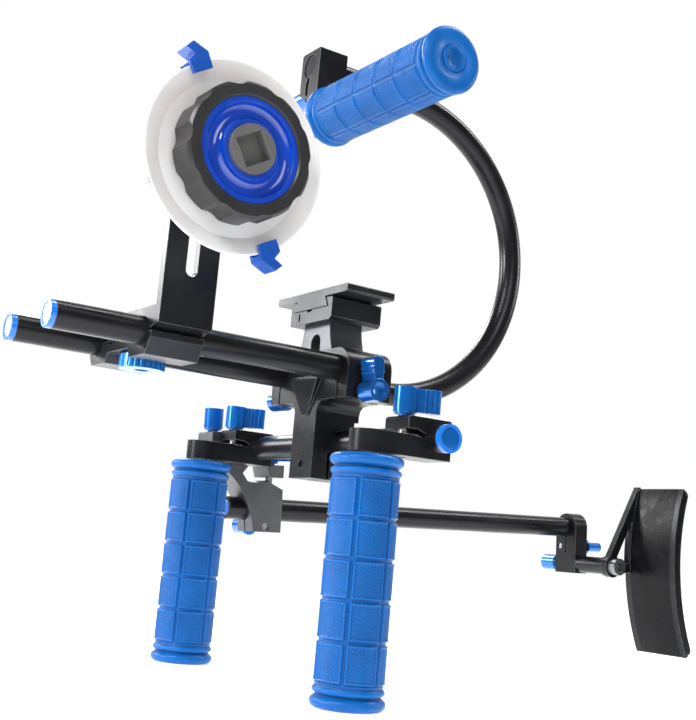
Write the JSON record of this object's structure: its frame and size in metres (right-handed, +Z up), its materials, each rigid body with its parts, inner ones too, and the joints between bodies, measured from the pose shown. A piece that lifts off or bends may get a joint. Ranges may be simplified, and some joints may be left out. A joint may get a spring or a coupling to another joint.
{
  "type": "shoulder camera rig",
  "caption": "Shoulder-mount camera rig on 15 mm rods with side grips, offset shoulder pad, follow focus and C-arm top handle.",
  "frame": {"origin": "camera screw axis at the camera seat, on top of the plate's rubber pads", "axes": "+Z up along the camera screw, -Y towards the lens, +X to the operator's left, the side of the follow focus wheel"},
  "size_m": [0.2568, 0.5449, 0.388],
  "materials": {
    "black_anodised": "black anodised, satin",
    "grey_anodised": "dark grey anodised, fine blast",
    "light_grey": "clear anodised, matte",
    "blue_anodised": "bright blue anodised, gloss",
    "rod_black": "black anodised tube, satin",
    "cap_blue": "blue rim with a pale dished face",
    "grip_rubber": "blue moulded rubber, diamond knurl",
    "pad_rubber": "black foam rubber",
    "black_rubber": "black ribbed rubber",
    "steel": "bright steel",
    "dark_steel": "blackened steel",
    "core_aluminium": "plain turned aluminium",
    "marking_white": "white writing surface",
    "wheel_black": "black moulded, satin",
    "inlay_blue": "deep blue, gloss",
    "boss_grey": "dark grey, satin"
  },
  "bodies": {
    "head": {"rod_block": "black_anodised", "riser": "grey_anodised", "plate_clamp": "grey_anodised", "stem_screw": "dark_steel", "crossbar": "rod_black", "bar_caps": "cap_blue"},
    "camera_plate": {"camera_plate": "grey_anodised", "plate_pads": "black_rubber"},
    "camera_screw": {"camera_screw": "steel"},
    "plate_jaw": {"plate_jaw": "grey_anodised"},
    "plate_lock_knob": {"plate_lock_knob": "blue_anodised"},
    "block_knob_near": {"block_knob_near": "blue_anodised"},
    "block_knob_far": {"block_knob_far": "blue_anodised"},
    "rod_near": {"front_rod_near": "rod_black", "front_caps_near": "cap_blue"},
    "rod_far": {"front_rod_far": "rod_black", "front_caps_far": "cap_blue"},
    "handle_near": {"arm_near": "black_anodised", "arm_bolt_near": "steel", "handle_core_near": "core_aluminium", "grip_near": "grip_rubber"},
    "handle_far": {"arm_far": "black_anodised", "arm_bolt_far": "steel", "handle_core_far": "core_aluminium", "grip_far": "grip_rubber"},
    "arm_knob_near": {"arm_knob_near": "blue_anodised"},
    "arm_knob_far": {"arm_knob_far": "blue_anodised"},
    "tail_clamp": {"offset_clamp": "light_grey"},
    "offset_knob_front": {"offset_knob_front": "blue_anodised"},
    "offset_knob_rear": {"offset_knob_rear": "blue_anodised"},
    "tail_rod_knob": {"tail_rod_knob": "blue_anodised"},
    "tail_rod": {"tail_rod": "rod_black"},
    "pad_clamp": {"pad_clamp": "black_anodised"},
    "pad_clamp_knob": {"pad_clamp_knob": "blue_anodised"},
    "pad": {"pivot_shaft": "black_anodised", "pivot_bolt": "steel", "pad_bracket": "black_anodised", "shoulder_pad": "pad_rubber"},
    "pivot_knob": {"pivot_knob": "blue_anodised"},
    "ff_mount": {"ff_bracket": "black_anodised"},
    "ff_jaw": {"ff_lower_jaw": "grey_anodised"},
    "ff_thumb_knob": {"ff_thumb_knob": "blue_anodised"},
    "ff_box": {"ff_gearbox": "black_anodised", "ff_cover": "black_anodised"},
    "ff_lock_screw": {"ff_lock_screw": "steel"},
    "ff_wheel": {"ff_wheel_shaft": "steel", "ff_marking_disc": "marking_white", "ff_hand_wheel": "wheel_black", "ff_inlay_ring": "inlay_blue", "ff_socket_boss": "boss_grey"},
    "ff_drive": {"ff_drive_shaft": "steel", "ff_drive_gear": "wheel_black"},
    "ff_stop_upper": {"ff_stop_upper": "inlay_blue"},
    "ff_stop_lower": {"ff_stop_lower": "inlay_blue"},
    "c_arm": {"c_arm_tube": "rod_black"},
    "top_handle": {"top_arm": "black_anodised", "top_arm_bolt": "steel", "top_handle_core": "core_aluminium", "top_grip": "grip_rubber"},
    "top_arm_knob": {"top_arm_knob": "blue_anodised"}
  },
  "joints": [
    {"name": "plate_slide", "type": "slide", "parent": "head", "child": "camera_plate", "axis": [0, 1, 0], "range_m": [-0.012, 0.012]},
    {"name": "camera_screw_turn", "type": "hinge", "parent": "camera_plate", "child": "camera_screw", "pos_m": [0, 0, -0.008], "axis": [0, 0, 1], "continuous": true},
    {"name": "plate_jaw_slide", "type": "slide", "parent": "head", "child": "plate_jaw", "axis": [-1, 0, 0], "range_m": [0, 0.00026]},
    {"name": "plate_lock_turn", "type": "hinge", "parent": "plate_jaw", "child": "plate_lock_knob", "pos_m": [-0.0227, 0.012, -0.0152], "axis": [-1, 0, 0], "range_deg": [0, 110]},
    {"name": "block_knob_near_turn", "type": "hinge", "parent": "head", "child": "block_knob_near", "pos_m": [0.0419, -0.0015, -0.0616], "axis": [1, 0, 0], "range_deg": [0, 360]},
    {"name": "block_knob_far_turn", "type": "hinge", "parent": "head", "child": "block_knob_far", "pos_m": [-0.0419, -0.0015, -0.0616], "axis": [-1, 0, 0], "range_deg": [0, 360]},
    {"name": "rod_near_slide", "type": "slide", "parent": "head", "child": "rod_near", "axis": [0, 1, 0], "range_m": [-0.02, 0.04]},
    {"name": "rod_far_slide", "type": "slide", "parent": "head", "child": "rod_far", "axis": [0, 1, 0], "range_m": [-0.006, 0]},
    {"name": "handle_near_swing", "type": "hinge", "parent": "head", "child": "handle_near", "pos_m": [0.095, 0.0035, -0.09], "axis": [1, 0, 0], "range_deg": [-60, 60]},
    {"name": "handle_far_swing", "type": "hinge", "parent": "head", "child": "handle_far", "pos_m": [-0.091, 0.0035, -0.09], "axis": [1, 0, 0], "range_deg": [-5, 6]},
    {"name": "arm_knob_near_turn", "type": "hinge", "parent": "handle_near", "child": "arm_knob_near", "pos_m": [0.095, -0.0107, -0.0796], "axis": [0, 0, 1], "range_deg": [0, 360]},
    {"name": "arm_knob_far_turn", "type": "hinge", "parent": "handle_far", "child": "arm_knob_far", "pos_m": [-0.091, -0.0107, -0.0796], "axis": [0, 0, 1], "range_deg": [-170, 25]},
    {"name": "tail_swing", "type": "hinge", "parent": "head", "child": "tail_clamp", "pos_m": [-0.112, 0.0035, -0.09], "axis": [1, 0, 0], "range_deg": [-10, 2]},
    {"name": "offset_knob_front_turn", "type": "hinge", "parent": "tail_clamp", "child": "offset_knob_front", "pos_m": [-0.112, -0.01552, -0.08039], "axis": [0, -0.0419, 0.9991], "range_deg": [-50, 110]},
    {"name": "offset_knob_rear_turn", "type": "hinge", "parent": "tail_clamp", "child": "offset_knob_rear", "pos_m": [-0.112, 0.02983, -0.0974], "axis": [0, -0.0419, 0.9991], "range_deg": [-20, 160]},
    {"name": "tail_rod_knob_turn", "type": "hinge", "parent": "tail_clamp", "child": "tail_rod_knob", "pos_m": [-0.1224, 0.02557, -0.13892], "axis": [-1, 0, 0], "range_deg": [0, 360]},
    {"name": "tail_rod_slide", "type": "slide", "parent": "tail_clamp", "child": "tail_rod", "axis": [0, 0.9991, 0.0419], "range_m": [-0.002, 0.012]},
    {"name": "pad_roll", "type": "hinge", "parent": "tail_rod", "child": "pad_clamp", "pos_m": [-0.112, 0.31484, -0.11549], "axis": [0, 0.9991, 0.0419], "range_deg": [-30, 30]},
    {"name": "pad_clamp_knob_turn", "type": "hinge", "parent": "pad_clamp", "child": "pad_clamp_knob", "pos_m": [-0.119, 0.32187, -0.1303], "axis": [0, 0.9991, 0.0419], "range_deg": [-90, 80]},
    {"name": "pad_tilt", "type": "hinge", "parent": "pad_clamp", "child": "pad", "pos_m": [-0.09, 0.31609, -0.14416], "axis": [1, 0, 0], "range_deg": [-25, 25]},
    {"name": "pivot_knob_turn", "type": "hinge", "parent": "pad", "child": "pivot_knob", "pos_m": [-0.1246, 0.31609, -0.14416], "axis": [-1, 0, 0], "range_deg": [0, 360]},
    {"name": "ff_slide", "type": "slide", "parent": "head", "child": "ff_mount", "axis": [0, 1, 0], "range_m": [-0.04, 0.03]},
    {"name": "ff_jaw_slide", "type": "slide", "parent": "ff_mount", "child": "ff_jaw", "axis": [0, 0, -1], "range_m": [0, 0.00051]},
    {"name": "ff_thumb_turn", "type": "hinge", "parent": "ff_jaw", "child": "ff_thumb_knob", "pos_m": [0, -0.1185, -0.0561], "axis": [0, 0, -1], "range_deg": [0, 180]},
    {"name": "ff_height_slide", "type": "slide", "parent": "ff_mount", "child": "ff_box", "axis": [0, 0, 1], "range_m": [-0.03, 0.001]},
    {"name": "ff_lock_turn", "type": "hinge", "parent": "ff_box", "child": "ff_lock_screw", "pos_m": [0.0427, -0.1185, 0.035], "axis": [-1, 0, 0], "range_deg": [0, 360]},
    {"name": "ff_wheel_turn", "type": "hinge", "parent": "ff_box", "child": "ff_wheel", "pos_m": [0.0844, -0.1185, 0.035], "axis": [1, 0, 0], "continuous": true},
    {"name": "ff_drive_turn", "type": "hinge", "parent": "ff_box", "child": "ff_drive", "pos_m": [0.0615, -0.1185, 0.035], "axis": [0, 1, 0], "continuous": true},
    {"name": "ff_stop_upper_turn", "type": "hinge", "parent": "ff_wheel", "child": "ff_stop_upper", "pos_m": [0.082, -0.1185, 0.035], "axis": [1, 0, 0], "range_deg": [-40, 40]},
    {"name": "ff_stop_lower_turn", "type": "hinge", "parent": "ff_wheel", "child": "ff_stop_lower", "pos_m": [0.082, -0.1185, 0.035], "axis": [1, 0, 0], "range_deg": [-40, 40]},
    {"name": "c_arm_swing", "type": "hinge", "parent": "head", "child": "c_arm", "pos_m": [-0.03, 0.0135, -0.0486], "axis": [0, 1, 0], "range_deg": [-20, 20]},
    {"name": "top_handle_swing", "type": "hinge", "parent": "c_arm", "child": "top_handle", "pos_m": [-0.03, -0.0049, 0.1514], "axis": [0, 1, 0], "range_deg": [-30, 45]},
    {"name": "top_arm_knob_turn", "type": "hinge", "parent": "top_handle", "child": "top_arm_knob", "pos_m": [-0.0404, -0.0049, 0.1372], "axis": [-1, 0, 0], "range_deg": [0, 360]}
  ],
  "couplings": [
    {"joint": "plate_jaw_slide", "follows": "plate_lock_turn", "m_per_rad": 0.00012732},
    {"joint": "ff_jaw_slide", "follows": "ff_thumb_turn", "m_per_rad": 0.00015915},
    {"joint": "ff_drive_turn", "follows": "ff_wheel_turn", "ratio": 1.5}
  ]
}
